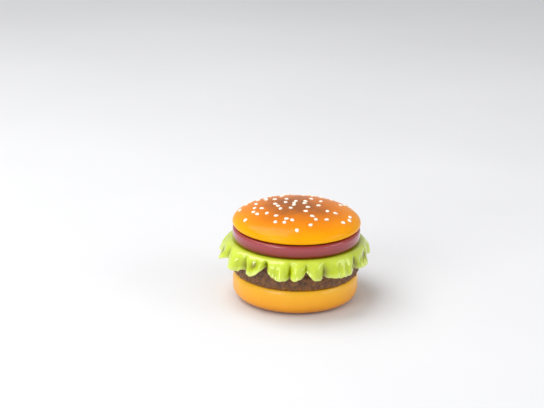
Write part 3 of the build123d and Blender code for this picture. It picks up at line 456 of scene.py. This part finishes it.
def patty():
    """The middle casing, moulded as coarse minced meat."""
    low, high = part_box("patty_ring")
    outer, bottom, top, edge = high.x, low.z, high.z, PATTY_EDGE_R
    around, along = PATTY_AROUND, PATTY_ALONG
    points = []
    for i in range(around):
        angle = 2 * math.pi * i / around
        for j in range(along):
            share = j / (along - 1)
            radius, height = patty_outline(share, outer, bottom, top, edge)
            place = Vector((radius * math.cos(angle), radius * math.sin(angle), height))
            crumb = noise.voronoi(place * 300)[0][0]
            relief = (0.35 - crumb) * 2.2 * MM + noise.noise(place * 110) * 0.6 * MM - 0.9 * MM
            inward = Vector((math.cos(angle), math.sin(angle), 0))
            fade = ease(min(share, 1 - share) / 0.12)
            points.append(place + inward * relief * fade)
    skin = mesh_piece("patty", points, ring_faces(around, along), patty_meat(), "base")
    wall = skin.modifiers.new("wall", "SOLIDIFY")
    wall.thickness = 1.6 * MM
    wall.offset = -1
    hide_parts("patty_ring")
    return skin


def patty_outline(share, outer, bottom, top, edge):
    """The casing's outside from its lower flange to its upper one, as (radius, height)."""
    inner = outer - 8 * MM
    flat = outer - edge - inner
    bend = edge * math.pi / 2
    side = top - bottom - 2 * edge
    walk = share * (2 * flat + 2 * bend + side)
    if walk < flat:
        return inner + walk, bottom
    walk -= flat
    if walk < bend:
        turn = walk / edge
        return outer - edge + edge * math.sin(turn), bottom + edge - edge * math.cos(turn)
    walk -= bend
    if walk < side:
        return outer, bottom + edge + walk
    walk -= side
    if walk < bend:
        turn = walk / edge
        return outer - edge + edge * math.cos(turn), top - edge + edge * math.sin(turn)
    return outer - edge - (walk - bend), top


# ---------------------------------------------------------------- the scene round it


FOCAL, SENSOR = 100.0, 36.0
CAMERA_AZIMUTH, CAMERA_TILT, CAMERA_ROLL = -32.0, 18.5, 1.1
CAMERA_DISTANCE = 1.377
AIM_ABOVE_LIP = 3.5 * MM
AIM_RIGHT, AIM_DOWN = 0.0452, 0.0311  # the bun's widest ring from the picture's centre, shares of its width


def camera():
    """Looks down a little at the closed telephone, which lies right of and below the picture's centre."""
    azimuth, tilt, roll = (math.radians(v) for v in (CAMERA_AZIMUTH, CAMERA_TILT, CAMERA_ROLL))
    level = math.cos(tilt)
    forward = Vector((-math.sin(azimuth) * level, math.cos(azimuth) * level, -math.sin(tilt)))
    right = Vector((math.cos(azimuth), math.sin(azimuth), 0))
    up = right.cross(forward)
    rolled_right = right * math.cos(roll) + up * math.sin(roll)
    rolled_up = up * math.cos(roll) - right * math.sin(roll)
    spread = SENSOR / FOCAL
    ray = forward + rolled_right * AIM_RIGHT * spread - rolled_up * AIM_DOWN * spread
    target = Vector((0, 0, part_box("top_bun_shell")[0].z + AIM_ABOVE_LIP))
    lens = bpy.data.cameras.new("camera")
    lens.lens, lens.sensor_width = FOCAL, SENSOR
    lens.clip_start, lens.clip_end = 0.05, 20
    eye = bpy.data.objects.new("camera", lens)
    bpy.context.scene.collection.objects.link(eye)
    turn = Matrix((rolled_right, rolled_up, -forward)).transposed()
    eye.matrix_world = Matrix.Translation(target - ray.normalized() * CAMERA_DISTANCE) @ turn.to_4x4()
    bpy.context.scene.camera = eye


def area_light(name, place, aim, width, height, power, colour=(1, 1, 1)):
    data = bpy.data.lights.new(name, "AREA")
    data.shape, data.size, data.size_y, data.energy, data.color = "RECTANGLE", width, height, power, colour
    lamp = bpy.data.objects.new(name, data)
    bpy.context.scene.collection.objects.link(lamp)
    lamp.location = place
    lamp.rotation_euler = (Vector(aim) - Vector(place)).to_track_quat("-Z", "Y").to_euler()


def studio():
    """A white sweep under large soft boxes."""
    world = bpy.data.worlds.new("studio")
    bpy.context.scene.world = world
    world.use_nodes = True
    world.node_tree.nodes["Background"].inputs["Color"].default_value = (0.97, 0.975, 1.0, 1)
    world.node_tree.nodes["Background"].inputs["Strength"].default_value = 0.5
    floor_shape = bpy.data.meshes.new("floor")
    half = 6.0
    floor_shape.from_pydata([(-half, -half, 0), (half, -half, 0), (half, half, 0), (-half, half, 0)], [],
                            [(0, 1, 2, 3)])
    floor = bpy.data.objects.new("floor", floor_shape)
    bpy.context.scene.collection.objects.link(floor)
    paper = Nodes("paper", Roughness=0.9)
    paper.colour(paper.ramp(paper.noise(3.0), [(0.3, linear(228, 228, 229)), (0.7, linear(232, 232, 233))]))
    floor_shape.materials.append(paper.material)
    area_light("top_box", (-0.5, 0.5, 1.5), (0, 0, 0), 1.4, 1.2, 19)
    area_light("left_box", (-1.6, -0.5, 0.9), (0, 0, 0.05), 1.0, 0.9, 9)
    area_light("right_box", (1.2, -1.2, 0.8), (0, 0, 0.05), 0.9, 0.9, 6)
    area_light("left_strip", (-1.3, -0.6, 0.42), (0, 0, 0.06), 0.7, 0.06, 2.4)
    area_light("right_strip", (0.7, -1.4, 0.42), (0, 0, 0.06), 0.6, 0.06, 1.6)


def view_settings():
    bpy.context.scene.view_settings.view_transform = "Standard"


# ---------------------------------------------------------------- keys, and dressing the CAD pieces


KEY_LABELS = {"star": "*", "hash": "#"}


def key_marks():
    """A digit on each number key, moulded a hair proud of the key's top."""
    ink = moulded("digit_ink", (40, 36, 34), rough=0.5)
    for name in sorted(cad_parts):
        if not name.startswith("key_") or name == "key_membrane":
            continue
        tag = name[4:]
        label = KEY_LABELS.get(tag, tag.upper())
        size = 6.0 * MM if len(label) == 1 else 2.9 * MM
        low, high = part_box(name)
        text = bpy.data.curves.new("mark_" + tag, "FONT")
        text.body, text.size, text.extrude = label, size, 0.06 * MM
        text.align_x, text.align_y = "CENTER", "CENTER"
        mark = bpy.data.objects.new("mark_" + tag, text)
        bpy.context.scene.collection.objects.link(mark)
        text.materials.append(ink)
        mark.location = ((low.x + high.x) / 2, (low.y + high.y) / 2, high.z + 0.02 * MM)
        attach(mark, name)


def dress_all():
    cream = moulded("key_cream", (238, 228, 200), rough=0.35, Coat_Weight=0.3)
    black = moulded("black_plastic", (34, 33, 33), rough=0.45)
    rubber = moulded("black_rubber", (30, 30, 31), rough=0.75, grain=0.15)
    steel = brushed("zinc_steel", (196, 196, 200))
    tomato = tomato_gloss()
    dress(bun_paint(), "top_bun_shell")
    dress(heel_paint(), "bottom_bun_shell")
    dress(seed_gloss(), "sesame_seeds")
    dress(tomato, "tomato_ring", "deck_plate", "earpiece_plate")
    keys = [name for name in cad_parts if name.startswith("key_") and name != "key_membrane"]
    dress(cream, *keys)
    dress(black, "buzzer", "line_jack", "dialler_chip", "ringer_switch_body", "tone_switch_body",
          "hook_switch_body", "hook_plunger")
    dress(moulded("knob_white", (226, 224, 218), rough=0.4), "ringer_knob", "tone_knob")
    dress(rubber, "rubber_feet", "lid_bumpers", "receiver_gasket", "mic_boot")
    dress(moulded("membrane_grey", (150, 150, 148), rough=0.6), "key_membrane")
    dress(steel, "lid_screws", "clamp_screws", "board_screws", "case_screws", "ballast_screws", "hinge_pin",
          "hook_spring", "receiver_frame", "receiver_clamp", "receiver_magnet", "ballast_plate")
    dress(moulded("board_green", (38, 104, 62), rough=0.35, Coat_Weight=0.5), "main_board")
    dress(moulded("can_aluminium", (186, 187, 190), rough=0.35, metallic=1.0), "mic_capsule", "capacitors")
    dress(moulded("paper_cone", (52, 50, 48), rough=0.8, grain=0.2), "receiver_cone")
    dress(moulded("gilt_wire", (218, 178, 92), rough=0.25, metallic=1.0), "jack_contacts")
    dress(moulded("red_wire", (150, 32, 28), rough=0.5), "receiver_lead", "mic_lead", "buzzer_lead",
          "line_lead")


view_settings()
camera()
studio()
dress_all()
lettuce()
patty()
key_marks()
